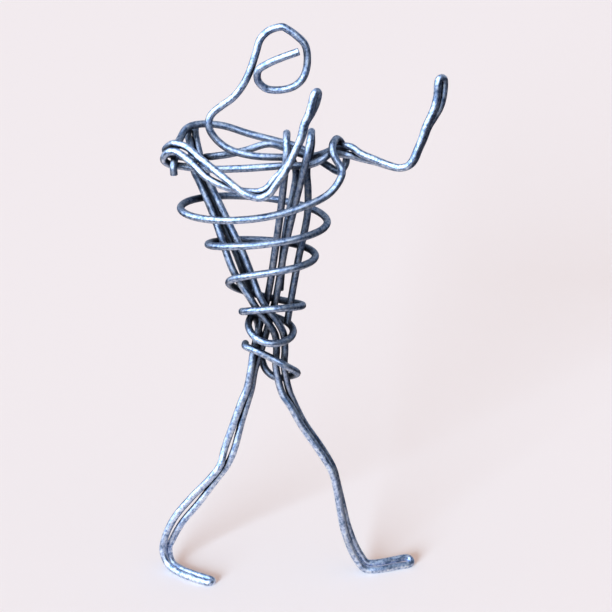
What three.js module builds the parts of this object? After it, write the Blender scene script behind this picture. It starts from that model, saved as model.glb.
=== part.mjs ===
// A striding human figure, bent by hand from five lengths of galvanised steel wire:
// one for the head, one for both arms, one for each leg and one wound round the torso.
// Millimetres, +Z up. The chest faces -Y, the figure walks towards +X, and right and left
// are the figure's own. The origin is on the floor, below the middle of the figure.
import * as THREE from "three";

// The wire
const WIRE_DIAMETER = 2.0;
const STRAND_GAP = 0.3; // air between strands that lie side by side
const OPEN_LAY = 2.6; // middle to middle of two strands that stand a little open
const BEND_GAP = 0.45; // air across a bend that is posed
const FLAT_DEPTH = 0.2; // how deep the underside of a foot is pressed flat

// Heights of the body's marks above the floor
const HIP_HEIGHT = 56;
const WAIST_HEIGHT = 76;
const SHOULDER_HEIGHT = 121;
const REAR_HOOK_RISE = 7.8; // tops of the two chest hooks above the shoulders
const FORE_HOOK_RISE = 8.4;

// The torso's winding, loop by loop: its level on the torso (0 at the waist, 1 at the shoulders), its
// half width and half depth, where its middle lies, how much higher its left end is than its middle,
// and how much lower its front is.
const LOOPS = [
  { height: 0.947, width: 25.4, depth: 14, across: -12.3, back: 0, tilt: 2.6, dip: 7.8 },
  { height: 0.593, width: 17.7, depth: 11, across: -11.4, back: 0, tilt: 1.1, dip: 0.1 },
  { height: 0.404, width: 13.2, depth: 8, across: -10.1, back: 0, tilt: 0.1, dip: -0.3 },
  { height: 0.082, width: 8.9, depth: 6.5, across: -9.3, back: 0.8, tilt: 0.3, dip: -3.1 },
  { height: -0.05, width: 6.6, depth: 7.4, across: -9.6, back: 0.3, tilt: -2.7, dip: -0.5 },
  { height: -0.645, width: 3, depth: 6, across: -11.3, back: 0.3, tilt: -8.6, dip: 6.6 },
];
const FIRST_TURN = 0.11; // where on the first loop the winding leaves the shoulder
const LAST_TURN = 4.5; // where on the last loop it turns down to the hips
const MARKS_PER_TURN = 16;

// The left arm: where it leaves the torso, and its reach from there to the hand
const LEFT_ARM_START = 11.2;
const LEFT_REACH = 24.9;

// The feet: the right one lies flat, the left one's hairpin leans back from upright, in degrees
const LEFT_FOOT_LEAN = 55;

// Facets
const SIDES = 8;
const FOOT_SIDES = 12;
const STEP = 3; // length of wire between two rings on the limbs
const LOOP_STEP = 1.9; // the same on the head and the winding
const HAIRPIN_STEP = 1.5;

const WIRE_RADIUS = WIRE_DIAMETER / 2;
const LAY = WIRE_DIAMETER + STRAND_GAP; // middle to middle of two strands side by side
const SOLE = WIRE_RADIUS - FLAT_DEPTH; // height of a strand that rests on the floor
// Height between the left foot's two strands
const LEFT_FOOT = SOLE + (LAY / 2) * Math.cos(THREE.MathUtils.degToRad(LEFT_FOOT_LEAN));
const AWAY = new THREE.Vector3(0, 1, 0);
const UP = new THREE.Vector3(0, 0, 1);

// Points of the body. A height is given above the shoulders, as a level on the torso, as a share of
// the leg below the hips, or above the floor; levels are -1 at the hips, 0 at the waist and 1 at the
// shoulders. Along the left arm, a place is a share of the arm's reach.
function torsoHeight(level) {
  const end = level < 0 ? HIP_HEIGHT : SHOULDER_HEIGHT;
  return THREE.MathUtils.lerp(WAIST_HEIGHT, end, Math.abs(level));
}
const at = (x, y, z) => new THREE.Vector3(x, y, z);
const shoulder = (x, y, rise) => at(x, y, SHOULDER_HEIGHT + rise);
const torso = (x, y, level) => at(x, y, torsoHeight(level));
const leg = (x, y, share) => at(x, y, share * HIP_HEIGHT);
const arm = (share, y, rise) => shoulder(LEFT_ARM_START + share * LEFT_REACH, y, rise);

// Bends that are posed: each one turns about an axis through its point
const bends = {
  neck: { point: shoulder(-25.5, 2, 11), axis: AWAY },
  right_shoulder: { point: shoulder(-31.8, -4.9, 3.8), axis: UP },
  right_elbow: { point: shoulder(-11.3, -15.2, -5.4), axis: AWAY },
  left_shoulder: { point: arm(0.153, -1, 1.7), axis: AWAY },
  left_elbow: { point: arm(0.663, -4.6, -0.2), axis: AWAY },
  right_hip: { point: leg(-15.3, 1, 0.99), axis: AWAY },
  right_knee: { point: leg(-22.7, 0, 0.588), axis: AWAY },
  right_ankle: { point: leg(-39, 3.1, 0.14), axis: at(1, 1, 0).normalize() },
  left_hip: { point: leg(-5.1, -1, 0.99), axis: AWAY },
  left_knee: { point: leg(8, -0.5, 0.57), axis: AWAY },
  left_ankle: { point: leg(13.9, 0.2, 0.143), axis: at(-0.37, 0.93, 0).normalize() },
};

// A smooth line through the points that a wire is bent along.
function route(points) {
  const line = new THREE.CatmullRomCurve3(points, false, "centripetal");
  line.arcLengthDivisions = 40 * points.length;
  return line;
}

// A doubled wire: two strands that follow one middle line. Each mark gives a place on that line,
// the angle by which the strands are turned about it, and how far apart they lie.
function doubled(marks) {
  const line = route(marks.map((mark) => mark.place));
  const strand = (side) =>
    marks.map(({ place, turn = 0, spread = LAY }, index) => {
      const along = line.getTangent(index / (marks.length - 1));
      const across = new THREE.Vector3().crossVectors(AWAY, along).normalize();
      across.applyAxisAngle(along, THREE.MathUtils.degToRad(turn));
      return place.clone().addScaledVector(across, (side * spread) / 2);
    });
  return { first: strand(1), second: strand(-1), ahead: line.getTangent(1) };
}

// The hairpin at the end of a doubled wire: down one strand, round the tip and up the other.
function hairpin({ first, second, ahead }, marks) {
  const middle = first.at(-1).clone().add(second.at(-1)).divideScalar(2);
  const half = first.at(-1).clone().sub(middle);
  const tip = [45, 90, 135].map((degrees) => {
    const angle = THREE.MathUtils.degToRad(degrees);
    const out = half.clone().multiplyScalar(Math.cos(angle));
    return out.addScaledVector(ahead, half.length() * Math.sin(angle)).add(middle);
  });
  return route([...first.slice(-marks), ...tip, ...second.slice(-marks).reverse()]);
}

// Part of a line, between two shares of its length.
class Stretch extends THREE.Curve {
  constructor(line, from, to) {
    super();
    Object.assign(this, { line, from, to });
  }
  getPoint(share, target) {
    return this.line.getPointAt(THREE.MathUtils.lerp(this.from, this.to, share), target);
  }
}

// Where a line passes nearest to a bend, as a share of the line's length.
function nearest(line, bend, from = 0, to = 1) {
  let share = from;
  let least = Infinity;
  for (let trial = from; trial <= to; trial += 0.0005) {
    const distance = line.getPointAt(trial).distanceTo(bend.point);
    if (distance < least) {
      least = distance;
      share = trial;
    }
  }
  return share;
}

// Across a bend, the wire is parted along a knuckle: a round about the bend's axis that takes in
// every strand there. Each bend's knuckle is measured on the lines that cross it.
function measureKnuckle(bend, lines) {
  const offsets = lines.map((line) => {
    const offset = line.getPointAt(nearest(line, bend)).sub(bend.point);
    return offset.projectOnPlane(bend.axis).length();
  });
  bend.radius = Math.max(...offsets) + WIRE_RADIUS + STRAND_GAP / 3;
}

// Slides the ring of corners at one end of a tube along the wire, onto the round of a knuckle:
// its far side for the piece that holds the knuckle, its near side for the piece that meets it.
function roundEnd(geometry, end, outward, { bend, holds }) {
  const radius = holds ? bend.radius : bend.radius + BEND_GAP;
  const slope = outward.clone().projectOnPlane(bend.axis);
  const positions = geometry.getAttribute("position");
  const corner = new THREE.Vector3();
  for (let i = 0; i < positions.count; i++) {
    corner.fromBufferAttribute(positions, i);
    const fromEnd = corner.clone().sub(end);
    if (Math.abs(fromEnd.dot(outward)) > 1e-3 || fromEnd.length() > 1.1 * WIRE_RADIUS) continue;
    const offset = corner.clone().sub(bend.point).projectOnPlane(bend.axis);
    const a = slope.lengthSq();
    const b = offset.dot(slope);
    const c = offset.lengthSq() - radius * radius;
    const root = Math.sqrt(Math.max(0, b * b - a * c));
    corner.addScaledVector(outward, (holds ? root - b : -root - b) / a);
    positions.setXYZ(i, corner.x, corner.y, corner.z);
  }
}

// A round tube along a line. Where it starts or stops at a bend, it holds the bend's knuckle or
// stops short of it.
function tube(line, { start, stop, step = STEP, sides = SIDES } = {}) {
  const corners = Array.from({ length: sides }, (_, i) => {
    const angle = (2 * Math.PI * (i + 0.5)) / sides;
    return new THREE.Vector2(WIRE_RADIUS * Math.cos(angle), WIRE_RADIUS * Math.sin(angle));
  });
  const length = line.getLength();
  const past = ({ bend, holds }) => (holds ? -0.8 * bend.radius : bend.radius + BEND_GAP) / length;
  const from = start ? nearest(line, start.bend, 0, start.before) + past(start) : 0;
  const to = stop ? nearest(line, stop.bend, stop.after) - past(stop) : 1;
  const stretch = new Stretch(line, from, to);
  const geometry = new THREE.ExtrudeGeometry(new THREE.Shape(corners), {
    steps: Math.ceil(((to - from) * length) / step),
    extrudePath: stretch,
    bevelEnabled: false,
  });
  if (start) roundEnd(geometry, stretch.getPoint(0), stretch.getTangentAt(0).negate(), start);
  if (stop) roundEnd(geometry, stretch.getPoint(1), stretch.getTangentAt(1), stop);
  return geometry;
}

const figure = new THREE.Group();
const galvanised = new THREE.MeshStandardMaterial({ color: 0x8f98a6, roughness: 0.32, metalness: 1 });

function add(name, geometry) {
  const mesh = new THREE.Mesh(geometry, galvanised);
  mesh.name = name;
  figure.add(mesh);
}

// One stretch of a limb: it holds the bend nearer to the torso and stops short of the next one.
function addStretch(name, line, inner, outer, step = STEP) {
  const start = inner && { bend: bends[inner], holds: true };
  const stop = outer && { bend: bends[outer], holds: false };
  add(name, tube(line, { start, stop, step }));
}

// A hand or a foot: a hairpin that holds the last bend of its limb at both ends.
function addHairpin(name, line, inner, sides = SIDES) {
  const bend = { bend: bends[inner], holds: true };
  const ends = { start: { ...bend, before: 0.5 }, stop: { ...bend, after: 0.5 } };
  add(name, tube(line, { ...ends, step: HAIRPIN_STEP, sides }));
}

// Presses the underside of a foot flat where it meets the floor.
function pressFlat(name) {
  const positions = figure.getObjectByName(name).geometry.getAttribute("position");
  for (let i = 0; i < positions.count; i++) positions.setZ(i, Math.max(0, positions.getZ(i)));
}

// The head wire: from the chest to the right shoulder, up the neck, round the face and inwards
const headLine = route([
  shoulder(-4.9, 1.4, 0.6),
  shoulder(-13.9, 1, 1.2),
  shoulder(-19.9, 1.5, 2.8),
  shoulder(-23.1, 2, 5),
  shoulder(-25.2, 2, 8),
  shoulder(-25.5, 2, 10.2),
  shoulder(-24.6, 2, 12.4),
  shoulder(-21.9, 1.5, 14.8),
  shoulder(-18.9, 1, 17.1),
  shoulder(-16.2, 0.5, 20.6),
  shoulder(-14.3, 0, 24.5),
  shoulder(-12.8, 0, 28.9),
  shoulder(-11.5, 0, 33),
  shoulder(-9.4, 0, 35.2),
  shoulder(-7.2, 0, 36.1),
  shoulder(-5.5, 0, 36.3),
  shoulder(-4.7, 0, 35.9),
  shoulder(-2, 0, 34),
  shoulder(0.3, 0, 31.5),
  shoulder(0.9, 0, 26.9),
  shoulder(-0.1, 0, 22.9),
  shoulder(-2.4, 0, 20.5),
  shoulder(-6.4, 0, 19.4),
  shoulder(-10.1, -0.3, 19.9),
  shoulder(-12.2, -1.2, 22.3),
  shoulder(-12, -1.9, 25.1),
  shoulder(-9.5, -2.5, 27),
  shoulder(-5.5, -2.8, 28.8),
  shoulder(-1.3, -2.8, 30.3),
]);
measureKnuckle(bends.neck, [headLine]);
addStretch("neck_anchor", headLine, null, "neck");
addStretch("head_loop", headLine, "neck", null, LOOP_STEP);

// The right leg's wire: two strands hooked over the chest from behind, crossing the waist
const rightLegMarks = [
  { place: torso(-8.9, 1.25, 0.133) },
  { place: torso(-11, 1.3, -0.09) },
  { place: torso(-13, 1.2, -0.485), turn: -30 },
  { place: torso(-14.2, 1, -0.748), turn: -60 },
  { place: leg(-15.3, 1, 0.99), turn: -55 },
  { place: leg(-16.4, 0.8, 0.934), turn: -42 },
  { place: leg(-18.3, 0.6, 0.83), turn: -30 },
  { place: leg(-21, 0.2, 0.671), spread: OPEN_LAY },
  { place: leg(-22.7, 0, 0.588), turn: -35 },
  { place: leg(-25.8, 0.4, 0.509), turn: -35 },
  { place: leg(-30.8, 1.2, 0.393), spread: OPEN_LAY },
  { place: leg(-35.7, 2, 0.277), spread: OPEN_LAY },
  { place: leg(-38.6, 2.9, 0.168), turn: -15 },
  { place: leg(-39.5, 3.5, 0.1), turn: -45 },
  { place: at(-38.3, 2.8, SOLE + 0.9), turn: -75 },
  { place: at(-35.6, 0.1, SOLE), turn: -90 },
  { place: at(-32, -3.3, SOLE), turn: -90 },
  { place: at(-27, -7.1, SOLE), turn: -90 },
];
const rightLeg = doubled(rightLegMarks);
const chestHook = (x, front, behind, rise, sway = 0) => [
  shoulder(x, behind, rise - 4.5),
  shoulder(x, behind - 0.9, rise - 1.5),
  shoulder(x, (front + behind) / 2, rise),
  shoulder(x - sway / 3, front + 0.9, rise - 1.5),
  shoulder(x - sway, front, rise - 4.5),
];
const rightLegRear = route([
  torso(-6.6, 4.3, 0.162),
  torso(-5.5, 4, 0.451),
  torso(-3.8, 3.6, 0.687),
  torso(-2.7, 3.4, 0.8),
  torso(-2.2, 3.2, 0.924),
  ...chestHook(-4.6, -5.5, 3.2, REAR_HOOK_RISE),
  torso(-5.3, -4.5, 0.909),
  torso(-6.2, -3, 0.722),
  torso(-7.8, -1, 0.453),
  ...rightLeg.first,
]);
const rightLegFore = route([
  torso(-4.7, 2.5, -0.09),
  torso(-3.6, 3, 0.107),
  torso(-1.6, 3, 0.362),
  torso(0.9, 2.8, 0.647),
  torso(1.1, 2.6, 0.802),
  torso(0.8, 2.3, 0.936),
  ...chestHook(2, -5.5, 2.3, FORE_HOOK_RISE, 0.9),
  torso(-0.2, -4.8, 0.96),
  torso(-2.5, -3, 0.74),
  torso(-5.3, -0.8, 0.451),
  ...rightLeg.second,
]);
for (const name of ["right_hip", "right_knee", "right_ankle"])
  measureKnuckle(bends[name], [rightLegRear, rightLegFore]);
addStretch("right_leg_strut_rear", rightLegRear, null, "right_hip");
addStretch("right_leg_strut_fore", rightLegFore, null, "right_hip");
addStretch("right_thigh_rear", rightLegRear, "right_hip", "right_knee");
addStretch("right_thigh_fore", rightLegFore, "right_hip", "right_knee");
addStretch("right_shin_rear", rightLegRear, "right_knee", "right_ankle");
addStretch("right_shin_fore", rightLegFore, "right_knee", "right_ankle");
addHairpin("right_foot", hairpin(rightLeg, 8), "right_ankle", FOOT_SIDES);
pressFlat("right_foot");

// The left leg's wire: two strands hooked behind the shoulder ring, crossing the waist in front
const leftLegMarks = [
  { place: torso(-13.6, -1, 0.164), spread: OPEN_LAY },
  { place: torso(-11.4, -1.5, 0.08) },
  { place: torso(-8.3, -1.5, -0.025) },
  { place: torso(-6.7, -1.1, -0.2) },
  { place: torso(-6.4, -1.3, -0.41) },
  { place: torso(-6.6, -1.2, -0.644) },
  { place: leg(-5.1, -1, 0.99), turn: -35 },
  { place: leg(-3.3, -1, 0.925), turn: -65 },
  { place: leg(-0.3, -0.9, 0.818), turn: -75 },
  { place: leg(4.7, -0.7, 0.679), turn: -75 },
  { place: leg(8, -0.5, 0.57), turn: -80 },
  { place: leg(9.4, -0.4, 0.471), turn: -80 },
  { place: leg(10.4, -0.3, 0.377), turn: -70 },
  { place: leg(11.8, -0.1, 0.255), turn: -60 },
  { place: leg(13.9, 0.2, 0.143), turn: -LEFT_FOOT_LEAN },
  { place: leg(15.6, 0.5, 0.082), turn: -LEFT_FOOT_LEAN },
  { place: at(17.6, 0.7, LEFT_FOOT + 0.5), turn: -LEFT_FOOT_LEAN },
  { place: at(20.2, 1.2, LEFT_FOOT), turn: -LEFT_FOOT_LEAN },
  { place: at(23.4, 2.2, LEFT_FOOT), turn: -LEFT_FOOT_LEAN },
  { place: at(26.4, 3.6, LEFT_FOOT), turn: -LEFT_FOOT_LEAN },
  { place: at(29.6, 4.9, LEFT_FOOT), turn: -LEFT_FOOT_LEAN },
];
const leftLeg = doubled(leftLegMarks);
const leftLegRear = route([
  shoulder(-31.6, 13, 5.6),
  shoulder(-31.7, 12, 4.3),
  shoulder(-31.2, 9.8, 3.4),
  shoulder(-30.6, 7, 1.5),
  torso(-29.8, 5, 0.916),
  torso(-28.2, 4.7, 0.836),
  torso(-24.7, 3.3, 0.651),
  torso(-22, 1.5, 0.48),
  torso(-19.1, 0, 0.307),
  ...leftLeg.first,
]);
const leftLegFore = route([
  shoulder(-29.7, 15.1, 6.2),
  shoulder(-29.8, 14.2, 5),
  shoulder(-29.5, 11.5, 3.9),
  shoulder(-28.7, 8, 1.4),
  torso(-27.2, 5, 0.929),
  torso(-23.9, 4, 0.76),
  torso(-20.1, 2.5, 0.582),
  torso(-16.6, 1, 0.42),
  torso(-13.8, -0.3, 0.258),
  ...leftLeg.second,
]);
for (const name of ["left_hip", "left_knee", "left_ankle"])
  measureKnuckle(bends[name], [leftLegRear, leftLegFore]);
addStretch("left_leg_strut_rear", leftLegRear, null, "left_hip");
addStretch("left_leg_strut_fore", leftLegFore, null, "left_hip");
addStretch("left_thigh_rear", leftLegRear, "left_hip", "left_knee");
addStretch("left_thigh_fore", leftLegFore, "left_hip", "left_knee");
addStretch("left_shin_rear", leftLegRear, "left_knee", "left_ankle");
addStretch("left_shin_fore", leftLegFore, "left_knee", "left_ankle");
addHairpin("left_foot", hairpin(leftLeg, 8), "left_ankle", FOOT_SIDES);
pressFlat("left_foot");

// The arms' wire: it starts behind the right shoulder, doubles back at each hand, crosses the
// shoulders twice and ends down the back between the left leg's strands
const rightForearm = doubled([
  { place: shoulder(-11.6, -15.2, -5.3), turn: 120 },
  { place: shoulder(-9.4, -15.6, -4.2), turn: 120 },
  { place: shoulder(-7.3, -15.8, -1.4), turn: 110 },
  { place: shoulder(-4.9, -15.8, 1.6), turn: 95 },
  { place: shoulder(-2.6, -15.8, 5.9), turn: 85 },
  { place: shoulder(-0.7, -15.8, 10.1), turn: 80 },
  { place: shoulder(0.3, -15.8, 13.9), turn: 78 },
  { place: shoulder(1.6, -15.8, 16.5), turn: 70 },
  { place: shoulder(2.5, -15.8, 18.9), turn: 60 },
  { place: shoulder(3.1, -15.8, 21.3), turn: 58 },
]);
const leftArm = doubled([
  { place: arm(0, 0, 2.9), turn: -15 },
  { place: arm(0.052, -0.5, 2.8), turn: 5 },
  { place: arm(0.153, -1, 1.7), turn: 45 },
  { place: arm(0.313, -2, 0.6), turn: 64 },
  { place: arm(0.474, -3, -0.6), turn: 72 },
  { place: arm(0.578, -4, -0.9), turn: 73 },
  { place: arm(0.663, -4.6, -0.2), turn: 74 },
  { place: arm(0.715, -5, 1.2), turn: 72 },
  { place: arm(0.767, -5, 4.3), turn: 72 },
  { place: arm(0.819, -5, 7.5), turn: 70 },
  { place: arm(0.859, -5, 10.5), turn: 65 },
  { place: arm(0.92, -5, 13.5), turn: 55 },
  { place: arm(0.964, -5, 15.9), turn: 45 },
  { place: arm(0.992, -5, 19), turn: 40 },
  { place: arm(1, -5, 22.6), turn: 40 },
]);
const rightArmUpper = [
  shoulder(-28.6, 2.6, -0.4),
  shoulder(-32.1, 3.4, 0.1),
  shoulder(-36.1, 3, 1),
  shoulder(-37.2, 1.8, 2.5),
  shoulder(-35.8, -0.5, 4.5),
  shoulder(-34.3, -2.5, 5.4),
  shoulder(-31.1, -4.2, 4.8),
  shoulder(-27.5, -7.4, 2.6),
  shoulder(-22.1, -12, -0.6),
  shoulder(-17.3, -15.2, -3.8),
  shoulder(-15.3, -16.1, -4.9),
];
const rightArmLower = [
  shoulder(-33.3, 0, -1.4),
  shoulder(-35.9, 0, -1),
  shoulder(-37.5, -1, 0.5),
  shoulder(-36.8, -2.5, 2.5),
  shoulder(-35.7, -3.5, 3.4),
  shoulder(-34, -4.5, 3.6),
  shoulder(-32.1, -6, 2.9),
  shoulder(-28.8, -8, 0.6),
  shoulder(-25.9, -10, -1.8),
  shoulder(-22.1, -11.6, -3.5),
  shoulder(-17.3, -12.6, -4.8),
  shoulder(-14.2, -13.3, -5),
];
const frontAcross = [
  shoulder(7.2, -1.5, 2.4),
  shoulder(4.6, -2.5, 0.9),
  shoulder(1.4, -2.5, -0.4),
  shoulder(-6.4, -2.4, -0.8),
  shoulder(-17.1, -2.5, -1.5),
  shoulder(-26.5, -1, -2),
];
const backAcross = [
  shoulder(8.6, 2.6, 2.9),
  shoulder(5.1, 4, 1),
  shoulder(1.9, 5.2, 0),
  shoulder(-2.4, 6, 1),
  shoulder(-9.2, 6.5, 3.1),
  shoulder(-15.9, 5.5, 1.5),
  shoulder(-21.3, 5.2, 0.4),
  shoulder(-24.6, 6.6, -0.4),
  shoulder(-27.2, 8.4, -1.4),
  torso(-27.5, 8.2, 0.91),
  torso(-25.7, 6.5, 0.775),
  torso(-23, 5.3, 0.629),
  torso(-18.6, 3.6, 0.404),
  torso(-15.9, 3.2, 0.233),
  torso(-14.9, 3.2, 0.169),
];
const rightUpperLine = route([...rightArmUpper, ...rightForearm.second]);
const rightLowerLine = route([...frontAcross, ...rightArmLower, ...rightForearm.first]);
const leftUpperLine = route([...backAcross.toReversed(), ...leftArm.second]);
const leftLowerLine = route([...frontAcross.toReversed(), ...leftArm.first]);
const frontLine = route([...leftArm.first.toReversed(), ...frontAcross, ...rightArmLower]);
for (const name of ["right_shoulder", "right_elbow"])
  measureKnuckle(bends[name], [rightUpperLine, rightLowerLine]);
for (const name of ["left_shoulder", "left_elbow"])
  measureKnuckle(bends[name], [leftUpperLine, leftLowerLine]);
addStretch("right_shoulder_curl", rightUpperLine, null, "right_shoulder");
addStretch("shoulder_strand_back", leftUpperLine, null, "left_shoulder");
add(
  "shoulder_strand_front",
  tube(frontLine, {
    start: { bend: bends.left_shoulder, holds: false },
    stop: { bend: bends.right_shoulder, holds: false },
  }),
);
addStretch("right_upper_arm_upper", rightUpperLine, "right_shoulder", "right_elbow");
addStretch("right_upper_arm_lower", rightLowerLine, "right_shoulder", "right_elbow");
addStretch("left_upper_arm_upper", leftUpperLine, "left_shoulder", "left_elbow");
addStretch("left_upper_arm_lower", leftLowerLine, "left_shoulder", "left_elbow");
const rightHandLine = hairpin(
  {
    first: [...rightArmLower.slice(-3), ...rightForearm.first],
    second: [...rightArmUpper.slice(-3), ...rightForearm.second],
    ahead: rightForearm.ahead,
  },
  13,
);
addHairpin("right_forearm", rightHandLine, "right_elbow");
addHairpin("left_forearm", hairpin(leftArm, 12), "left_elbow");

// The torso's winding: a hook on the right shoulder, the back of the shoulder ring, one wrap of
// the left arm, the shrinking loops, and a hitch round the left hip
function loopPoint(turns) {
  const value = (key) => {
    const values = LOOPS.map((loop) => at(loop[key], 0, 0));
    const line = new THREE.CatmullRomCurve3(values, false, "catmullrom", 0.5);
    return line.getPoint(turns / (LOOPS.length - 1)).x;
  };
  const angle = 2 * Math.PI * turns;
  const point = torso(value("across"), value("back"), value("height"));
  point.x += value("width") * Math.cos(angle);
  point.y -= value("depth") * Math.sin(angle);
  point.z += value("tilt") * Math.cos(angle) - value("dip") * Math.sin(angle);
  return point;
}
const loopMarks = Math.round((LAST_TURN - FIRST_TURN) * MARKS_PER_TURN);
const windingLine = route([
  shoulder(-34.7, -3.5, -3),
  shoulder(-34.8, -3.5, -0.5),
  shoulder(-34.6, -2.2, 0.9),
  shoulder(-34.3, 1.5, 3.2),
  shoulder(-33.5, 6, 4.6),
  shoulder(-31.7, 9.5, 6.8),
  shoulder(-28.3, 11.5, 7.4),
  shoulder(-22.4, 12.5, 6.8),
  shoulder(-14.7, 12.5, 4.4),
  shoulder(-7.4, 11.5, 2.7),
  shoulder(-2.2, 10.5, 1.5),
  shoulder(2.2, 8.4, -0.4),
  shoulder(6.5, 5, -2.6),
  shoulder(9.6, 2.6, -3.5),
  shoulder(11.2, 3, -1.6),
  shoulder(11.3, 4.5, 1),
  shoulder(10.1, 4.6, 3.9),
  shoulder(8.9, 2.4, 5.5),
  shoulder(8.2, -0.2, 5.6),
  shoulder(7.6, -2.7, 4.9),
  shoulder(7.7, -4.1, 3.3),
  shoulder(8.8, -4.6, 1.1),
  shoulder(10.1, -5.1, -1),
  shoulder(9.8, -7, -2.8),
  ...Array.from({ length: loopMarks + 1 }, (_, i) =>
    loopPoint(THREE.MathUtils.lerp(FIRST_TURN, LAST_TURN, i / loopMarks)),
  ),
  torso(-14.5, 2.2, 0.007),
  torso(-13.2, 3.8, -0.05),
  torso(-12.6, 4.8, -0.2),
  torso(-12.2, 5.2, -0.45),
  torso(-11.7, 4.5, -0.66),
  torso(-10.3, 3, -0.795),
  torso(-7.5, 2, -0.875),
  torso(-4, 1.9, -0.85),
  torso(-1.9, -1.6, -0.74),
  torso(-4.7, -4.7, -0.59),
  torso(-9.3, -4.6, -0.46),
  torso(-13.1, -4.2, -0.37),
  torso(-16, -1.5, -0.355),
  torso(-16.2, 1.5, -0.36),
]);
add("torso_winding", tube(windingLine, { step: LOOP_STEP }));

// The least air between turns of the winding, measured on points along it
function leastGap(line) {
  const count = 1200;
  const points = line.getSpacedPoints(count);
  const apart = Math.ceil((4 * WIRE_DIAMETER * count) / line.getLength());
  let least = Infinity;
  for (let i = 0; i < count; i++)
    for (let j = i + apart; j <= count; j++) least = Math.min(least, points[i].distanceTo(points[j]));
  return least - WIRE_DIAMETER;
}
console.log("least gap of torso_winding to itself:", leastGap(windingLine).toFixed(2), "mm");

// The origin lies below the middle of the figure
const box = new THREE.Box3().setFromObject(figure);
const middle = box.getCenter(new THREE.Vector3());
figure.position.set(-middle.x, -middle.y, -box.min.z);
const wireFigure = new THREE.Group();
wireFigure.add(figure);
for (const [name, { point }] of Object.entries(bends)) {
  const place = point.clone().add(figure.position).toArray();
  console.log(name, "turns at", place.map((value) => value.toFixed(2)).join(", "), "mm");
}

export default wireFigure;
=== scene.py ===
import math

import bmesh
import bpy
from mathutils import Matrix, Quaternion, Vector, noise


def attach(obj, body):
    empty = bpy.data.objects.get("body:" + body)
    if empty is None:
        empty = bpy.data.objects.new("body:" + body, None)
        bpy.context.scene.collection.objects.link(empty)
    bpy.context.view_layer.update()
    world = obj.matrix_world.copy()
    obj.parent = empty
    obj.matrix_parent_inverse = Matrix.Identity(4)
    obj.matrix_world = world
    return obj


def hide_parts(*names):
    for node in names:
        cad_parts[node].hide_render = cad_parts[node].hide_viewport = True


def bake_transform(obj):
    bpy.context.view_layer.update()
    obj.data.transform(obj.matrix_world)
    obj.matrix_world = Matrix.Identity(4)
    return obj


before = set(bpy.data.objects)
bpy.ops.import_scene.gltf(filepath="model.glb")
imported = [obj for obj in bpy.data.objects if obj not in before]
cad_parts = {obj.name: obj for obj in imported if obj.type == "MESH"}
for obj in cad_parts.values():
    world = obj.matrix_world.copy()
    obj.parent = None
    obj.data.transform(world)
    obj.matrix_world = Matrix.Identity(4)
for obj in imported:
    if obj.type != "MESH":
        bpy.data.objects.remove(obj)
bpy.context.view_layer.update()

# Right leg: one length of 2 mm galvanised steel wire, doubled and bent by hand. Its hairpin is the
# foot; the two strands run up the leg, cross the waist, climb the front of the chest, hook over the
# shoulder strands and end down the back. Nothing but the other wires' grip holds it.
MM = 0.001  # the wires' sizes and places are in millimetres, the frame's in metres
WIRE_RADIUS = 1.0
LAY = 2.3  # middle to middle of two strands side by side
OPEN_LAY = 2.6  # the same where the strands stand a little open
SOLE = 0.8  # height of the middle of a strand that is pressed flat on the floor
HIPS = 56.0
WAIST = 76.0
SHOULDERS = 121.0
ORIGIN_SHIFT = Vector((1.6742, 1.0337, 0.0))  # from the wires' own places to the frame's origin
AWAY = Vector((0, 1, 0))  # from the viewer to the figure's back
RING_STEP = 0.45  # between two rings of a tube
TUBE_ROUNDNESS = 8  # resolution of the curve's round bevel
TIP_ANGLES = (45, 90, 135)  # degrees round a hairpin's tip at which it has points
WORN_SPREAD = 0.012  # how much the drawn wire's thickness varies, as a share
WORN_LENGTH = 5  # length of wire over which it varies
CUT_EDGE = 0.12  # worn round of the edge where a wire is cut off


def at(x, y, z):
    return Vector((x, y, z))


def shoulder(x, y, rise):
    """A point at a height above the shoulders."""
    return at(x, y, SHOULDERS + rise)


def torso(x, y, level):
    """A point whose level is -1 at the hips, 0 at the waist and 1 at the shoulders."""
    end = HIPS if level < 0 else SHOULDERS
    return at(x, y, WAIST + (end - WAIST) * abs(level))


def leg(x, y, share):
    """A point at a share of the hips' height above the floor."""
    return at(x, y, share * HIPS)


def metres(point):
    """A wire's point in the frame."""
    return (point + ORIGIN_SHIFT) * MM


def eased(start, leave, stop, reach, t):
    """What lies a share t of the way from start to stop, for given slopes at the two."""
    near = start * (2 * t**3 - 3 * t**2 + 1) + leave * (t**3 - 2 * t**2 + t)
    return near + stop * (3 * t**2 - 2 * t**3) + reach * (t**3 - t**2)


def smooth(points):
    """A smooth line through the points, and where along it each point lies."""
    ends = [2 * points[0] - points[1], *points, 2 * points[-1] - points[-2]]
    line, marks = [], []
    for before, start, stop, after in zip(ends, ends[1:], ends[2:], ends[3:]):
        marks.append(len(line))
        # Slopes that suit points at uneven distances, so that the line doesn't swing out between them.
        a = math.sqrt((start - before).length)
        b = math.sqrt((stop - start).length)
        c = math.sqrt((after - stop).length)
        leave = ((start - before) / a - (stop - before) / (a + b) + (stop - start) / b) * b
        reach = ((stop - start) / b - (after - start) / (b + c) + (after - stop) / c) * b
        steps = max(2, math.ceil((stop - start).length / RING_STEP))
        for step in range(steps):
            line.append(eased(start, leave, stop, reach, step / steps))
    marks.append(len(line))
    line.append(points[-1].copy())
    return line, marks


def directions(line):
    """Which way a line runs at each of its points."""
    ahead = [line[1], *line[2:], line[-1]]
    behind = [line[0], *line[:-2], line[-2]]
    return [(a - b).normalized() for a, b in zip(ahead, behind)]


def pair(middle, turn=0, spread=LAY):
    """A place of two strands: the middle between them, the angle in degrees by which they are turned
    about the line that they follow, and how far apart they lie."""
    return middle, turn, spread


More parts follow.
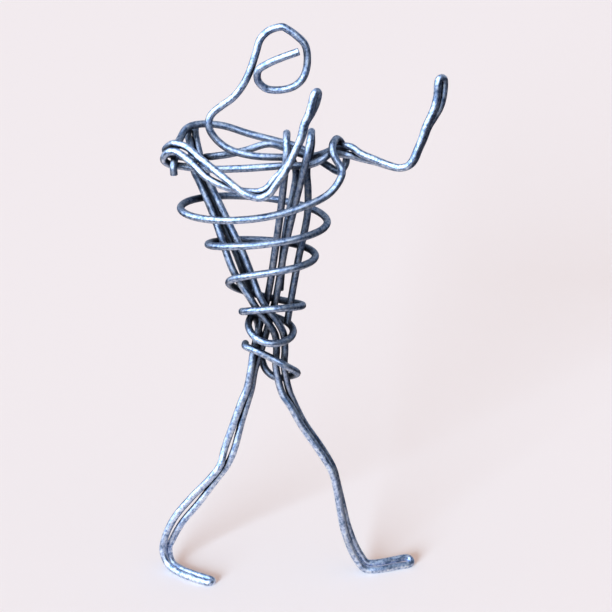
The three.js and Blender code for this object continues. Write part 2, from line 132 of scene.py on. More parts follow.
def doubled(pairs):
    """The points of the two strands through the given pairs, and which way they run at the end."""
    line, places = smooth([middle for middle, turn, spread in pairs])
    along = directions(line)
    first, second = [], []
    for (middle, turn, spread), place in zip(pairs, places):
        across = AWAY.cross(along[place]).normalized()
        across.rotate(Quaternion(along[place], math.radians(turn)))
        first.append(middle + across * spread / 2)
        second.append(middle - across * spread / 2)
    return first, second, along[-1]


def hairpin(first, second, ahead):
    """One wire's points: down the first strand, round the tip and back up the second."""
    middle = (first[-1] + second[-1]) / 2
    half = first[-1] - middle
    tip = []
    for angle in map(math.radians, TIP_ANGLES):
        tip.append(middle + half * math.cos(angle) + ahead * half.length * math.sin(angle))
    return [*first, *tip, *reversed(second)]


class Wire:
    """A length of wire: its line, and the places of its marks on that line."""

    def __init__(self, points):
        self.line, self.marks = smooth(points)


def tube(name, wire, start, stop, finish, stands=False):
    """A piece of a wire, from one of its marks to another. A foot that stands is pressed flat where
    it meets the floor. UV runs along the wire in millimetres and once round it."""
    line = wire.line[wire.marks[start] : wire.marks[stop] + 1]
    curve = bpy.data.curves.new(name, "CURVE")
    curve.dimensions = "3D"
    curve.bevel_depth = WIRE_RADIUS * MM
    curve.bevel_resolution = TUBE_ROUNDNESS
    spline = curve.splines.new("POLY")
    spline.points.add(len(line) - 1)
    for point, place in zip(spline.points, line):
        point.co = (*metres(place), 1)
        point.radius = 1 + WORN_SPREAD * noise.noise(place / WORN_LENGTH)
    round_curve = bpy.data.objects.new(name, curve)
    bpy.context.scene.collection.objects.link(round_curve)
    graph = bpy.context.evaluated_depsgraph_get()
    data = bpy.data.meshes.new_from_object(round_curve.evaluated_get(graph))
    data.name = name
    bpy.data.objects.remove(round_curve)
    length = sum((b - a).length for a, b in zip(line, line[1:]))
    for corner in data.uv_layers["UVMap"].data:
        corner.uv.x *= length

    mesh = bmesh.new()
    mesh.from_mesh(data)
    caps = bmesh.ops.holes_fill(mesh, edges=[e for e in mesh.edges if e.is_boundary])["faces"]
    cut_ends = [metres(wire.line[0]), metres(wire.line[-1])]
    for cap in caps:
        middle = cap.calc_center_median()
        rim = list(cap.edges)
        for edge in rim:
            edge.smooth = False
        if min((middle - end).length for end in cut_ends) < WIRE_RADIUS * MM:
            bmesh.ops.bevel(
                mesh,
                geom=rim,
                offset=CUT_EDGE * MM,
                affect="EDGES",
                segments=2,
                profile=0.5,
                material=-1,
            )
    if stands:
        for vert in mesh.verts:
            vert.co.z = max(vert.co.z, 0)
    mesh.to_mesh(data)
    mesh.free()
    data.materials.append(finish)
    piece = bpy.data.objects.new(name, data)
    bpy.context.scene.collection.objects.link(piece)
    return piece


def bend(piece):
    """Bakes a piece's place into its mesh."""
    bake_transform(piece)


def node(tree, kind, **settings):
    made = tree.nodes.new(kind)
    for name, value in settings.items():
        setattr(made, name, value)
    return made


def value_range(tree, source, low, high, to_low, to_high):
    """Stretches a pattern's values from low..high to a new range."""
    made = node(tree, "ShaderNodeMapRange")
    limits = {"From Min": low, "From Max": high, "To Min": to_low, "To Max": to_high}
    for name, value in limits.items():
        made.inputs[name].default_value = value
    tree.links.new(source, made.inputs["Value"])
    return made.outputs["Result"]


def speckle(tree, place, scale, detail):
    """A noise pattern; a scale of 1000 has grains of about 1 mm."""
    made = node(tree, "ShaderNodeTexNoise")
    made.inputs["Scale"].default_value = scale
    made.inputs["Detail"].default_value = detail
    tree.links.new(place, made.inputs["Vector"])
    return made.outputs["Fac"]


def blended(tree, first, second, share):
    """Two patterns in one, with the given share of the second."""
    made = node(tree, "ShaderNodeMix", data_type="FLOAT")
    made.inputs["Factor"].default_value = share
    tree.links.new(first, made.inputs["A"])
    tree.links.new(second, made.inputs["B"])
    return made.outputs["Result"]


def bump(tree, height, strength, depth, under=None):
    """Raises a pattern on the surface, on top of another bump if one is given."""
    made = node(tree, "ShaderNodeBump")
    made.inputs["Strength"].default_value = strength
    made.inputs["Distance"].default_value = depth
    tree.links.new(height, made.inputs["Height"])
    if under:
        tree.links.new(under, made.inputs["Normal"])
    return made.outputs["Normal"]


ZINC_DARK = Vector((0.22, 0.31, 0.48))
ZINC = Vector((0.57, 0.655, 0.845))
ZINC_BRIGHT = Vector((0.93, 0.96, 1.0))
ZINC_STEPS = (0.41, 0.5, 0.63)  # values of the pattern at which the three colours are reached
# near-black painted shade for the places where wires lie close together
CREVICE_SHADE = (0.03, 0.032, 0.04, 1)
DRAWN_SCALE = (0.35, 14, 1)  # drawing lines' grains for each millimetre of wire, and once round it
GRAIN_SCALE = 1300
PATCH_SCALE = 420
PATTERN_DETAIL = 2
PATCH_SHARE = 0.35  # of the patches among the grains
DRAWN_SHARE = 0.25  # of the drawing lines in the whole pattern
CREVICE_REACH = 0.015  # metres within which other wires count as close, for the painted shade
CREVICE_SPAN = (0.48, 0.97)  # openness at which a place takes the full painted shade, and at which it has none
SHADED_ZINC_LEFT = 0.02  # zinc that shows through the deepest painted shade
UNSHADED_HEIGHTS = (0.005, 0.02)  # metres: the painted shade is left off below the first, and fully kept above the second
PATCH_SPAN = (0.35, 0.68)  # values of the patches
ROUGHNESS_SPAN = (0.35, 0.5)  # roughness at these values
LINE_BUMP = (0.12, 0.0002)  # strength, and depth in metres
PIT_BUMP = (0.09, 0.0003)


def zinc_colours(tree, pattern, shade):
    """Dark, middle and bright zinc, by the values of a pattern."""
    zinc = node(tree, "ShaderNodeValToRGB")
    ramp = zinc.color_ramp
    ramp.elements[0].position = ZINC_STEPS[0]
    ramp.elements[0].color = (*(ZINC_DARK * shade), 1)
    ramp.elements[1].position = ZINC_STEPS[2]
    ramp.elements[1].color = (*(ZINC_BRIGHT * shade), 1)
    ramp.elements.new(ZINC_STEPS[1]).color = (*(ZINC * shade), 1)
    tree.links.new(pattern, zinc.inputs["Fac"])
    return zinc.outputs["Color"]


def crevice_shaded(tree, place, colour):
    """Paints shade into a colour where wires lie close together, but not on the feet near the floor."""
    # ambient occlusion: the closer other wires lie, the more shade is painted into the zinc
    crevices = node(tree, "ShaderNodeAmbientOcclusion", samples=8)
    crevices.inputs["Distance"].default_value = CREVICE_REACH
    height = node(tree, "ShaderNodeSeparateXYZ")
    tree.links.new(place, height.inputs["Vector"])
    unshaded = node(tree, "ShaderNodeMath", operation="MAXIMUM")
    open_places = value_range(tree, crevices.outputs["AO"], *CREVICE_SPAN, SHADED_ZINC_LEFT, 1)
    tree.links.new(open_places, unshaded.inputs[0])
    near_floor = value_range(tree, height.outputs["Z"], *UNSHADED_HEIGHTS, 1, 0)
    tree.links.new(near_floor, unshaded.inputs[1])
    mixed = node(tree, "ShaderNodeMix", data_type="RGBA")
    mixed.inputs["A"].default_value = CREVICE_SHADE
    tree.links.new(unshaded.outputs["Value"], mixed.inputs["Factor"])
    tree.links.new(colour, mixed.inputs["B"])
    return mixed.outputs["Result"]


def wire_finish(name, shade):
    """Hot-dipped zinc on drawn steel: blue-grey speckles, duller patches, fine drawing lines along the
    wire, small pits, and painted shade where wires lie close together. The argument shade scales the
    zinc colours: 1 keeps them as they are, less gives a darker copy."""
    material = bpy.data.materials.new(name)
    material.use_nodes = True
    tree = material.node_tree
    surface = tree.nodes["Principled BSDF"]
    surface.inputs["Metallic"].default_value = 1.0
    coordinates = node(tree, "ShaderNodeTexCoord")
    place = coordinates.outputs["Object"]
    stretch = node(tree, "ShaderNodeMapping")
    stretch.inputs["Scale"].default_value = DRAWN_SCALE
    tree.links.new(coordinates.outputs["UV"], stretch.inputs["Vector"])

    drawn = speckle(tree, stretch.outputs["Vector"], 1, PATTERN_DETAIL)
    grains = speckle(tree, place, GRAIN_SCALE, PATTERN_DETAIL)
    patches = speckle(tree, place, PATCH_SCALE, PATTERN_DETAIL)
    pattern = blended(tree, blended(tree, grains, patches, PATCH_SHARE), drawn, DRAWN_SHARE)
    colour = crevice_shaded(tree, place, zinc_colours(tree, pattern, shade))
    tree.links.new(colour, surface.inputs["Base Color"])
    roughness = value_range(tree, patches, *PATCH_SPAN, *ROUGHNESS_SPAN)
    tree.links.new(roughness, surface.inputs["Roughness"])
    lines = bump(tree, drawn, *LINE_BUMP)
    tree.links.new(bump(tree, grains, *PIT_BUMP, lines), surface.inputs["Normal"])
    return material


galvanised = wire_finish("galvanised_wire", 1)


HOOK_SIDE = 4.5  # how far a chest hook's sides reach down from its top
HOOK_CORNER_DROP = 1.5
HOOK_CORNER_IN = 0.9


def chest_hook(x, front, behind, rise, sway=0):
    """A strand's hook over the shoulder strands, from its back to its front, which may sway aside."""
    return [
        shoulder(x, behind, rise - HOOK_SIDE),
        shoulder(x, behind - HOOK_CORNER_IN, rise - HOOK_CORNER_DROP),
        shoulder(x, (front + behind) / 2, rise),
        shoulder(x - sway / 3, front + HOOK_CORNER_IN, rise - HOOK_CORNER_DROP),
        shoulder(x - sway, front, rise - HOOK_SIDE),
    ]


def leg_pieces(side, rear, fore, pairs, thigh_mark, shin_mark):
    """The five pieces of a leg's wire. It is parted halfway along the thigh and the shin, where it is
    straight, at marks that are counted from the first pair."""
    first, second, ahead = doubled(pairs)
    wire = Wire(hairpin([*rear, *first], [*fore, *second], ahead))
    last = len(wire.marks) - 1
    rear_cuts = [len(rear) + thigh_mark, len(rear) + shin_mark]
    fore_cuts = [last - len(fore) - thigh_mark, last - len(fore) - shin_mark]
    for name, top, cuts in (("rear", 0, rear_cuts), ("fore", last, fore_cuts)):
        strut = tube(f"{side}_leg_{name}_wire", wire, *sorted((top, cuts[0])), galvanised)
        bend(strut)
        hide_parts(f"{side}_leg_strut_{name}")
        knee_piece = tube(f"{side}_knee_{name}_wire", wire, *sorted(cuts), galvanised)
        bend(knee_piece)
        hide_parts(f"{side}_thigh_{name}")
    foot = tube(f"{side}_foot_wire", wire, rear_cuts[1], fore_cuts[1], galvanised, stands=True)
    bend(foot)
    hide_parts(f"{side}_shin_rear", f"{side}_shin_fore", f"{side}_foot")


leg_pieces(
    "right",
    rear=[
        torso(-6.6, 4.3, 0.162),
        torso(-5.5, 4, 0.451),
        torso(-3.8, 3.6, 0.687),
        torso(-2.7, 3.4, 0.8),
        torso(-2.2, 3.2, 0.924),
        *chest_hook(-4.6, -5.5, 3.2, 7.8),
        torso(-5.3, -4.5, 0.909),
        torso(-6.2, -3, 0.722),
        torso(-7.8, -1, 0.453),
    ],
    fore=[
        torso(-4.7, 2.5, -0.09),
        torso(-3.6, 3, 0.107),
        torso(-1.6, 3, 0.362),
        torso(0.9, 2.8, 0.647),
        torso(1.1, 2.6, 0.802),
        torso(0.8, 2.3, 0.936),
        *chest_hook(2, -5.5, 2.3, 8.4, 0.9),
        torso(-0.2, -4.8, 0.96),
        torso(-2.5, -3, 0.74),
        torso(-5.3, -0.8, 0.451),
    ],
    pairs=[
        pair(torso(-8.9, 1.25, 0.133)),
        pair(torso(-11, 1.3, -0.09)),
        pair(torso(-13, 1.2, -0.485), -30),
        pair(torso(-14.2, 1, -0.748), -60),
        pair(leg(-15.3, 1, 0.99), -55),
        pair(leg(-16.4, 0.8, 0.934), -42),
        pair(leg(-18.3, 0.6, 0.83), -30),
        pair(leg(-21, 0.2, 0.671), 0, OPEN_LAY),
        pair(leg(-22.7, 0, 0.588), -35),
        pair(leg(-25.8, 0.4, 0.509), -35),
        pair(leg(-30.8, 1.2, 0.393), 0, OPEN_LAY),
        pair(leg(-35.7, 2, 0.277), 0, OPEN_LAY),
        pair(leg(-38.6, 2.9, 0.168), -15),
        pair(leg(-39.5, 3.5, 0.1), -45),
        pair(at(-38.3, 2.8, SOLE + 0.9), -75),
        pair(at(-35.6, 0.1, SOLE), -90),
        pair(at(-32, -3.3, SOLE), -90),
        pair(at(-27, -7.1, SOLE), -90),
    ],
    thigh_mark=6,
    shin_mark=10,
)

# Left leg: a second doubled length of the same wire, stepping forward. Its strands cross the waist in
# front of the other leg's and hook behind the ring that carries the shoulders. Its foot's hairpin
# leans back from upright and stands on its lower strand.
LEFT_FOOT_LEAN = 55  # degrees
LEFT_FOOT = SOLE + LAY / 2 * math.cos(math.radians(LEFT_FOOT_LEAN))
leg_pieces(
    "left",
    rear=[
        shoulder(-31.6, 13, 5.6),
        shoulder(-31.7, 12, 4.3),
        shoulder(-31.2, 9.8, 3.4),
        shoulder(-30.6, 7, 1.5),
        torso(-29.8, 5, 0.916),
        torso(-28.2, 4.7, 0.836),
        torso(-24.7, 3.3, 0.651),
        torso(-22, 1.5, 0.48),
        torso(-19.1, 0, 0.307),
    ],
    fore=[
        shoulder(-29.7, 15.1, 6.2),
        shoulder(-29.8, 14.2, 5),
        shoulder(-29.5, 11.5, 3.9),
        shoulder(-28.7, 8, 1.4),
        torso(-27.2, 5, 0.929),
        torso(-23.9, 4, 0.76),
        torso(-20.1, 2.5, 0.582),
        torso(-16.6, 1, 0.42),
        torso(-13.8, -0.3, 0.258),
    ],
    pairs=[
        pair(torso(-13.6, -1, 0.164), 0, OPEN_LAY),
        pair(torso(-11.4, -1.5, 0.08)),
        pair(torso(-8.3, -1.5, -0.025)),
        pair(torso(-6.7, -1.1, -0.2)),
        pair(torso(-6.4, -1.3, -0.41)),
        pair(torso(-6.6, -1.2, -0.644)),
        pair(leg(-5.1, -1, 0.99), -35),
        pair(leg(-3.3, -1, 0.925), -65),
        pair(leg(-0.3, -0.9, 0.818), -75),
        pair(leg(4.7, -0.7, 0.679), -75),
        pair(leg(8, -0.5, 0.57), -80),
        pair(leg(9.4, -0.4, 0.471), -80),
        pair(leg(10.4, -0.3, 0.377), -70),
        pair(leg(11.8, -0.1, 0.255), -60),
        pair(leg(13.9, 0.2, 0.143), -LEFT_FOOT_LEAN),
        pair(leg(15.6, 0.5, 0.082), -LEFT_FOOT_LEAN),
        pair(at(17.6, 0.7, LEFT_FOOT + 0.5), -LEFT_FOOT_LEAN),
        pair(at(20.2, 1.2, LEFT_FOOT), -LEFT_FOOT_LEAN),
        pair(at(23.4, 2.2, LEFT_FOOT), -LEFT_FOOT_LEAN),
        pair(at(26.4, 3.6, LEFT_FOOT), -LEFT_FOOT_LEAN),
        pair(at(29.6, 4.9, LEFT_FOOT), -LEFT_FOOT_LEAN),
    ],
    thigh_mark=8,
    shin_mark=12,
)

# Arms: one length of the same wire for both. It starts behind the right shoulder, doubles back at each
# hand, crosses the shoulders in front and behind, and ends down the back between the left leg's
# strands. The right leg's hooks and the winding hold it.
LEFT_ARM_START = 11.2
LEFT_ARM_REACH = 24.9  # sideways, from the shoulder to the hand


def arm(share, y, rise):
    """A point at a share of the left arm's reach sideways."""
    return shoulder(LEFT_ARM_START + share * LEFT_ARM_REACH, y, rise)


right_arm_upper = [
    shoulder(-28.6, 2.6, -0.4),
    shoulder(-32.1, 3.4, 0.1),
    shoulder(-36.1, 3, 1),
    shoulder(-37.2, 1.8, 2.5),
    shoulder(-35.8, -0.5, 4.5),
    shoulder(-34.3, -2.5, 5.4),
    shoulder(-31.1, -4.2, 4.8),
    shoulder(-27.5, -7.4, 2.6),
    shoulder(-22.1, -12, -0.6),
    shoulder(-17.3, -15.2, -3.8),
    shoulder(-15.3, -16.1, -4.9),
]
right_arm_lower = [
    shoulder(-33.3, 0, -1.4),
    shoulder(-35.9, 0, -1),
    shoulder(-37.5, -1, 0.5),
    shoulder(-36.8, -2.5, 2.5),
    shoulder(-35.7, -3.5, 3.4),
    shoulder(-34, -4.5, 3.6),
    shoulder(-32.1, -6, 2.9),
    shoulder(-28.8, -8, 0.6),
    shoulder(-25.9, -10, -1.8),
    shoulder(-22.1, -11.6, -3.5),
    shoulder(-17.3, -12.6, -4.8),
    shoulder(-14.2, -13.3, -5),
]
right_forearm = doubled(
    [
        pair(shoulder(-11.6, -15.2, -5.3), 120),
        pair(shoulder(-9.4, -15.6, -4.2), 120),
        pair(shoulder(-7.3, -15.8, -1.4), 110),
        pair(shoulder(-4.9, -15.8, 1.6), 95),
        pair(shoulder(-2.6, -15.8, 5.9), 85),
        pair(shoulder(-0.7, -15.8, 10.1), 80),
        pair(shoulder(0.3, -15.8, 13.9), 78),
        pair(shoulder(1.6, -15.8, 16.5), 70),
        pair(shoulder(2.5, -15.8, 18.9), 60),
        pair(shoulder(3.1, -15.8, 21.3), 58),
    ]
)
front_across = [
    shoulder(7.2, -1.5, 2.4),
    shoulder(4.6, -2.5, 0.9),
    shoulder(1.4, -2.5, -0.4),
    shoulder(-6.4, -2.4, -0.8),
    shoulder(-17.1, -2.5, -1.5),
    shoulder(-26.5, -1, -2),
]
left_arm = doubled(
    [
        pair(arm(0, 0, 2.9), -15),
        pair(arm(0.052, -0.5, 2.8), 5),
        pair(arm(0.153, -1, 1.7), 45),
        pair(arm(0.313, -2, 0.6), 64),
        pair(arm(0.474, -3, -0.6), 72),
        pair(arm(0.578, -4, -0.9), 73),
        pair(arm(0.663, -4.6, -0.2), 74),
        pair(arm(0.715, -5, 1.2), 72),
        pair(arm(0.767, -5, 4.3), 72),
        pair(arm(0.819, -5, 7.5), 70),
        pair(arm(0.859, -5, 10.5), 65),
        pair(arm(0.92, -5, 13.5), 55),
        pair(arm(0.964, -5, 15.9), 45),
        pair(arm(0.992, -5, 19), 40),
        pair(arm(1, -5, 22.6), 40),
    ]
)
back_across = [
    shoulder(8.6, 2.6, 2.9),
    shoulder(5.1, 4, 1),
    shoulder(1.9, 5.2, 0),
    shoulder(-2.4, 6, 1),
    shoulder(-9.2, 6.5, 3.1),
    shoulder(-15.9, 5.5, 1.5),
    shoulder(-21.3, 5.2, 0.4),
    shoulder(-24.6, 6.6, -0.4),
    shoulder(-27.2, 8.4, -1.4),
    torso(-27.5, 8.2, 0.91),
    torso(-25.7, 6.5, 0.775),
    torso(-23, 5.3, 0.629),
    torso(-18.6, 3.6, 0.404),
    torso(-15.9, 3.2, 0.233),
    torso(-14.9, 3.2, 0.169),
]
right_lower, right_upper, right_ahead = right_forearm
right_hand = hairpin([*right_arm_upper, *right_upper], right_lower, right_ahead)
left_hand = hairpin(*left_arm)
before_chest = [*right_hand, *reversed(right_arm_lower)]
before_left_arm = [*before_chest, *reversed(front_across)]
arms_wire = Wire([*before_left_arm, *left_hand, *back_across])
RIGHT_CUT = 8  # halfway along the right upper arm, on both strands
CHEST_CUT = 2  # in the middle of the strand across the chest
LEFT_CUT = 3  # halfway along the left upper arm, on both strands
right_return = len(before_chest) - 1 - RIGHT_CUT
mid_chest = len(before_chest) + CHEST_CUT
left_out = len(before_left_arm) + LEFT_CUT
left_return = len(before_left_arm) + len(left_hand) - 1 - LEFT_CUT
arms_parts = {
    "right_shoulder_wire": (0, RIGHT_CUT),
    "right_hand_wire": (RIGHT_CUT, right_return),
    "right_chest_wire": (right_return, mid_chest),
    "left_chest_wire": (mid_chest, left_out),
    "left_hand_wire": (left_out, left_return),
    "shoulders_back_wire": (left_return, len(arms_wire.marks) - 1),
}
arms = {name: tube(name, arms_wire, *ends, galvanised) for name, ends in arms_parts.items()}
bend(arms["right_shoulder_wire"])
bend(arms["right_chest_wire"])
bend(arms["right_hand_wire"])
bend(arms["left_chest_wire"])
bend(arms["shoulders_back_wire"])
bend(arms["left_hand_wire"])
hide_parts("right_shoulder_curl", "right_upper_arm_upper")
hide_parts("shoulder_strand_front", "right_upper_arm_lower")
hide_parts("right_forearm")
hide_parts("left_upper_arm_lower")
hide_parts("shoulder_strand_back", "left_upper_arm_upper")
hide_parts("left_forearm")

# Head: a short length of the same wire, from behind the chest to the right shoulder, up the neck, round
# the face in a loop with a small kink at the crown, and inwards to a flat cut end. Its lower end is
# gripped among the strands of the chest.
head_wire = Wire(
    [
        shoulder(-4.9, 1.4, 0.6),
        shoulder(-13.9, 1, 1.2),
        shoulder(-19.9, 1.5, 2.8),
        shoulder(-23.1, 2, 5),
        shoulder(-25.2, 2, 8),
        shoulder(-25.5, 2, 10.2),
        shoulder(-24.6, 2, 12.4),
        shoulder(-21.9, 1.5, 14.8),
        shoulder(-18.9, 1, 17.1),
        shoulder(-16.2, 0.5, 20.6),
        shoulder(-14.3, 0, 24.5),
        shoulder(-12.8, 0, 28.9),
        shoulder(-11.5, 0, 33),
        shoulder(-9.4, 0, 35.2),
        shoulder(-7.2, 0, 36.1),
        shoulder(-5.5, 0, 36.3),
        shoulder(-4.7, 0, 35.9),
        shoulder(-2, 0, 34),
        shoulder(0.3, 0, 31.5),
        shoulder(0.9, 0, 26.9),
        shoulder(-0.1, 0, 22.9),
        shoulder(-2.4, 0, 20.5),
        shoulder(-6.4, 0, 19.4),
        shoulder(-10.1, -0.3, 19.9),
        shoulder(-12.2, -1.2, 22.3),
        shoulder(-12, -1.9, 25.1),
        shoulder(-9.5, -2.5, 27),
        shoulder(-5.5, -2.8, 28.8),
        shoulder(-1.3, -2.8, 30.3),
    ]
)
head = tube("head_wire", head_wire, 0, len(head_wire.marks) - 1, galvanised)
bend(head)
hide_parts("head_loop", "neck_anchor")

# Torso: the last and longest wire ties the others together. It hooks on the right shoulder, rings the
#  back, wraps the left arm once, winds down in shrinking loops and hitches round the left hip. Its
#  zinc colours are a darker copy of the other wires'.
WINDING_ZINC_SHARE = 0.8
LOOPS = [  # sizes at each whole turn: a level on the torso, and lengths in millimetres
    dict(level=0.947, width=25.4, depth=14, across=-12.3, back=0, tilt=2.6, dip=7.8),
    dict(level=0.593, width=17.7, depth=11, across=-11.4, back=0, tilt=1.1, dip=0.1),
    dict(level=0.404, width=13.2, depth=8, across=-10.1, back=0, tilt=0.1, dip=-0.3),
    dict(level=0.082, width=8.9, depth=6.5, across=-9.3, back=0.8, tilt=0.3, dip=-3.1),
    dict(level=-0.05, width=6.6, depth=7.4, across=-9.6, back=0.3, tilt=-2.7, dip=-0.5),
    dict(level=-0.645, width=3, depth=6, across=-11.3, back=0.3, tilt=-8.6, dip=6.6),
]
FIRST_TURN = 0.11
LAST_TURN = 4.5
MARKS_PER_TURN = 16


def between_loops(key, turns):
    """A loop's size between two loops, on a smooth curve through the sizes of all of them."""
    values = [loop[key] for loop in LOOPS]
    values = [2 * values[0] - values[1], *values, 2 * values[-1] - values[-2]]
    i = min(int(turns), len(LOOPS) - 2)
    t = turns - i
    before, start, stop, after = values[i : i + 4]
    return eased(start, (stop - before) / 2, stop, (after - start) / 2, t)


def loop_point(turns):
    """The winding's place after some turns. A turn starts at the figure's left and goes by its front."""
    size = {key: between_loops(key, turns) for key in LOOPS[0]}
    angle = 2 * math.pi * turns
    point = torso(size["across"], size["back"], size["level"])
    point.x += size["width"] * math.cos(angle)
    point.y -= size["depth"] * math.sin(angle)
    point.z += size["tilt"] * math.cos(angle) - size["dip"] * math.sin(angle)
    return point


loop_marks = round((LAST_TURN - FIRST_TURN) * MARKS_PER_TURN)
turn_step = (LAST_TURN - FIRST_TURN) / loop_marks
winding_wire = Wire(
    [
        shoulder(-34.7, -3.5, -3),
        shoulder(-34.8, -3.5, -0.5),
        shoulder(-34.6, -2.2, 0.9),
        shoulder(-34.3, 1.5, 3.2),
        shoulder(-33.5, 6, 4.6),
        shoulder(-31.7, 9.5, 6.8),
        shoulder(-28.3, 11.5, 7.4),
        shoulder(-22.4, 12.5, 6.8),
        shoulder(-14.7, 12.5, 4.4),
        shoulder(-7.4, 11.5, 2.7),
        shoulder(-2.2, 10.5, 1.5),
        shoulder(2.2, 8.4, -0.4),
        shoulder(6.5, 5, -2.6),
        shoulder(9.6, 2.6, -3.5),
        shoulder(11.2, 3, -1.6),
        shoulder(11.3, 4.5, 1),
        shoulder(10.1, 4.6, 3.9),
        shoulder(8.9, 2.4, 5.5),
        shoulder(8.2, -0.2, 5.6),
        shoulder(7.6, -2.7, 4.9),
        shoulder(7.7, -4.1, 3.3),
        shoulder(8.8, -4.6, 1.1),
        shoulder(10.1, -5.1, -1),
        shoulder(9.8, -7, -2.8),
        *(loop_point(FIRST_TURN + turn_step * i) for i in range(loop_marks + 1)),
        torso(-14.5, 2.2, 0.007),
        torso(-13.2, 3.8, -0.05),
        torso(-12.6, 4.8, -0.2),
        torso(-12.2, 5.2, -0.45),
        torso(-11.7, 4.5, -0.66),
        torso(-10.3, 3, -0.795),
        torso(-7.5, 2, -0.875),
        torso(-4, 1.9, -0.85),
        torso(-1.9, -1.6, -0.74),
        torso(-4.7, -4.7, -0.59),
        torso(-9.3, -4.6, -0.46),
        torso(-13.1, -4.2, -0.37),
        torso(-16, -1.5, -0.355),
        torso(-16.2, 1.5, -0.36),
    ]
)
darker_finish = wire_finish("darker_wire", WINDING_ZINC_SHARE)
winding = tube("torso_winding_wire", winding_wire, 0, len(winding_wire.marks) - 1, darker_finish)
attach(winding, "torso")
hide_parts("torso_winding")

# Floor: a large sheet of pale, matte paper that runs on behind the figure out of sight, so that the
#  ground and the backdrop are one. In reflections it shows a painted glow instead: pale near the figure,
#  fading to dark further off.
FLOOR_COLOUR = (0.88, 0.842, 0.873, 1)
DARK_SIDE = (0.035, 0.04, 0.055, 1)
FLOOR_SIZE = 8  # metres
GLOW_MIDDLE = (-0.05, -0.05, 0)  # where the floor's painted glow in reflections is brightest
GLOW_SPAN = (0.08, 0.18)  # metres from there at which the painted glow starts to darken, and is dark
LEAST_DARK = 0.05


def shown_and_reflected(tree, plain, reflected, output):
    """Gives a surface one shader, and another where it is seen in reflections."""
    rays = node(tree, "ShaderNodeLightPath")
    either = node(tree, "ShaderNodeMixShader")
    tree.links.new(rays.outputs["Is Glossy Ray"], either.inputs["Fac"])
    tree.links.new(plain, either.inputs[1])
    tree.links.new(reflected, either.inputs[2])
    tree.links.new(either.outputs["Shader"], tree.nodes[output].inputs["Surface"])


bpy.ops.mesh.primitive_plane_add(size=FLOOR_SIZE)
floor = bpy.context.object
floor.name = "floor"
paper = bpy.data.materials.new("pale_paper")
paper.use_nodes = True
tree = paper.node_tree
sheet = tree.nodes["Principled BSDF"]
sheet.inputs["Base Color"].default_value = FLOOR_COLOUR
sheet.inputs["Specular IOR Level"].default_value = 0
coordinates = node(tree, "ShaderNodeTexCoord")
away = node(tree, "ShaderNodeVectorMath", operation="DISTANCE")
away.inputs[1].default_value = GLOW_MIDDLE
tree.links.new(coordinates.outputs["Object"], away.inputs[0])
fade = node(tree, "ShaderNodeMix", data_type="RGBA")
fade.inputs["A"].default_value = FLOOR_COLOUR
fade.inputs["B"].default_value = DARK_SIDE
darkness = value_range(tree, away.outputs["Value"], *GLOW_SPAN, LEAST_DARK, 1)
tree.links.new(darkness, fade.inputs["Factor"])
# the floor as the wires see it in reflections: a painted glow, not light from the lamp
mirrored = node(tree, "ShaderNodeEmission")
tree.links.new(fade.outputs["Result"], mirrored.inputs["Color"])
shown_and_reflected(tree, sheet.outputs["BSDF"], mirrored.outputs["Emission"], "Material Output")
floor.data.materials.append(paper)

# Light: a window in front of the figure and to its right, in a warm room. The lamp is its light on the
# floor; in reflections the window itself shows, a dim door behind the figure, and darkness elsewhere.
LAMP_WAY = Vector((-0.38, -0.92, 0.2))
LAMP_WIDTH = math.radians(24)
LAMP_STRENGTH = 8.6
LAMP_COLOUR = (0.62, 0.86, 1)
ROOM_COLOUR = (0.675, 0.522, 0.445, 1)
WINDOW_COLOUR = (2.9, 3.5, 4.3, 1)
WINDOW_WAY = Vector((-0.68, -0.62, 0.42)).normalized()
WINDOW_BRIGHTNESS = 1
DOOR_WAY = Vector((0.35, 0.85, 0.4)).normalized()
DOOR_BRIGHTNESS = 0.1
OPENING_SPAN = (0.3, 0.87)  # cosines of the angles at an opening's edge and where it is full
world = bpy.data.worlds.new("room")
bpy.context.scene.world = world
world.use_nodes = True
tree = world.node_tree
room = tree.nodes["Background"]
room.inputs["Color"].default_value = ROOM_COLOUR
coordinates = node(tree, "ShaderNodeTexCoord")
glow = node(tree, "ShaderNodeMath", operation="MAXIMUM")
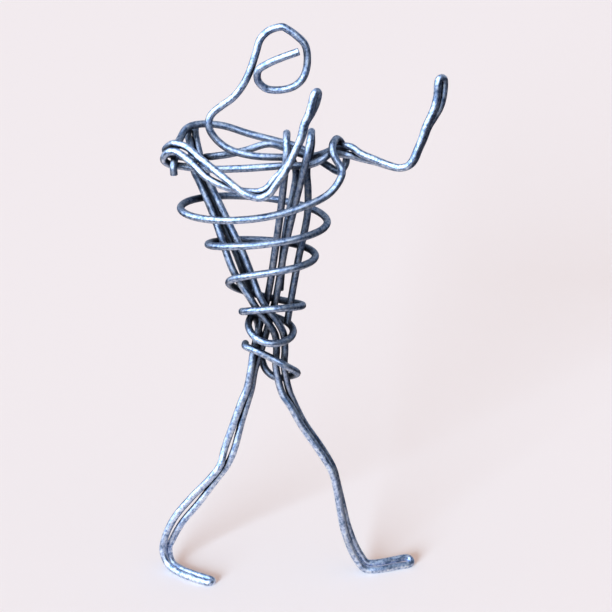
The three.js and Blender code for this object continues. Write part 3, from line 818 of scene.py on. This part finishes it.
openings = [(WINDOW_WAY, WINDOW_BRIGHTNESS), (DOOR_WAY, DOOR_BRIGHTNESS)]
for socket, (way, brightness) in zip(glow.inputs, openings):
    facing = node(tree, "ShaderNodeVectorMath", operation="DOT_PRODUCT")
    facing.inputs[1].default_value = way
    tree.links.new(coordinates.outputs["Generated"], facing.inputs[0])
    opening = value_range(tree, facing.outputs["Value"], *OPENING_SPAN, 0, brightness)
    tree.links.new(opening, socket)
sides = node(tree, "ShaderNodeMix", data_type="RGBA")
sides.inputs["A"].default_value = DARK_SIDE
sides.inputs["B"].default_value = WINDOW_COLOUR
tree.links.new(glow.outputs["Value"], sides.inputs["Factor"])
mirrored = node(tree, "ShaderNodeBackground")
tree.links.new(sides.outputs["Result"], mirrored.inputs["Color"])
shown_and_reflected(
    tree, room.outputs["Background"], mirrored.outputs["Background"], "World Output"
)

lamp_data = bpy.data.lights.new("lamp", "SUN")
lamp_data.angle = LAMP_WIDTH
lamp_data.energy = LAMP_STRENGTH
lamp_data.color = LAMP_COLOUR
lamp = bpy.data.objects.new("lamp", lamp_data)
lamp.visible_glossy = False
lamp.rotation_euler = LAMP_WAY.to_track_quat("Z", "Y").to_euler()
bpy.context.scene.collection.objects.link(lamp)

# Camera: in front of the figure, looking down on its middle from about an arm's length.
CAMERA_DISTANCE = 0.6  # metres
CAMERA_LIFT = math.radians(18)
CAMERA_SENSOR = 36
CAMERA_LENS = 128.8
CAMERA_AIM = metres(at(0.55, 0, 80.09))
camera_data = bpy.data.cameras.new("camera")
camera_data.sensor_width = CAMERA_SENSOR
camera_data.lens = CAMERA_LENS
camera = bpy.data.objects.new("camera", camera_data)
back = Vector((0, -math.cos(CAMERA_LIFT), math.sin(CAMERA_LIFT)))
camera.location = CAMERA_AIM + back * CAMERA_DISTANCE
camera.rotation_euler = (-back).to_track_quat("-Z", "Y").to_euler()
bpy.context.scene.collection.objects.link(camera)
bpy.context.scene.camera = camera
bpy.context.scene.view_settings.view_transform = "Standard"
